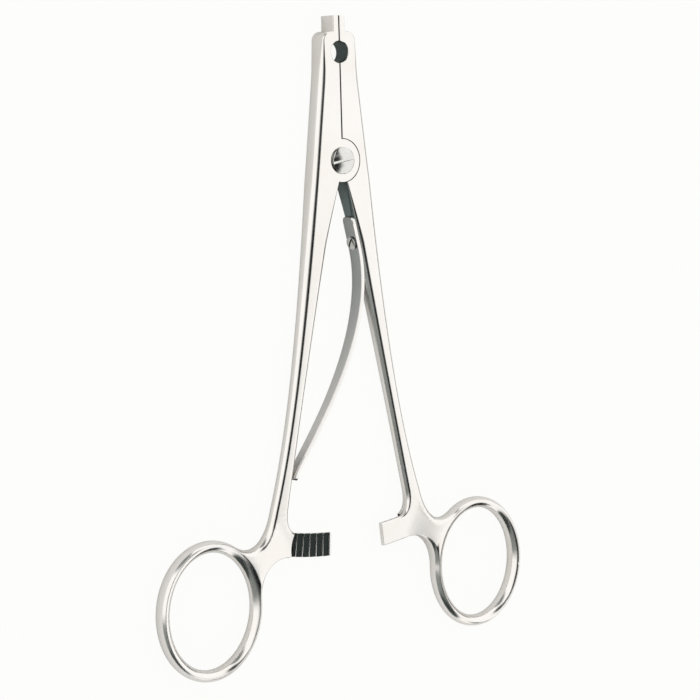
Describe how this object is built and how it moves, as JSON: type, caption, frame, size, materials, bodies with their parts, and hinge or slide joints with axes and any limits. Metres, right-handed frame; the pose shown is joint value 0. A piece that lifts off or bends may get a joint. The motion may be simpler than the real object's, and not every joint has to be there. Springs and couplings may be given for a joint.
{
  "type": "clip applier forceps",
  "caption": "Spring-loaded clip applying forceps with finger rings, a ratchet and short jaws that open when the handles are squeezed.",
  "frame": {"origin": "on the pivot axis, in the plane of the back faces that the forceps lies on", "axes": "+X across from the left arm to the right arm, +Y along the instrument towards the jaws, +Z out of the front face"},
  "size_m": [0.113, 0.1569, 0.0058],
  "materials": {
    "satin_steel": "satin polished stainless steel",
    "bright_steel": "polished stainless steel",
    "spring_steel": "ground and polished spring strip"
  },
  "bodies": {
    "left_handle": {"left_arm": "satin_steel"},
    "right_handle": {"right_arm": "satin_steel", "pivot_screw": "bright_steel", "leaf_spring": "spring_steel", "spring_screw": "bright_steel"}
  },
  "joints": [
    {"name": "squeeze", "type": "hinge", "parent": "left_handle", "child": "right_handle", "pos_m": [0, 0, 0.0024], "axis": [0, 0, -1], "range_deg": [0, 13], "stiffness_Nm_per_rad": 4.4, "springref_deg": -8.02, "deforming": ["leaf_spring"]}
  ]
}
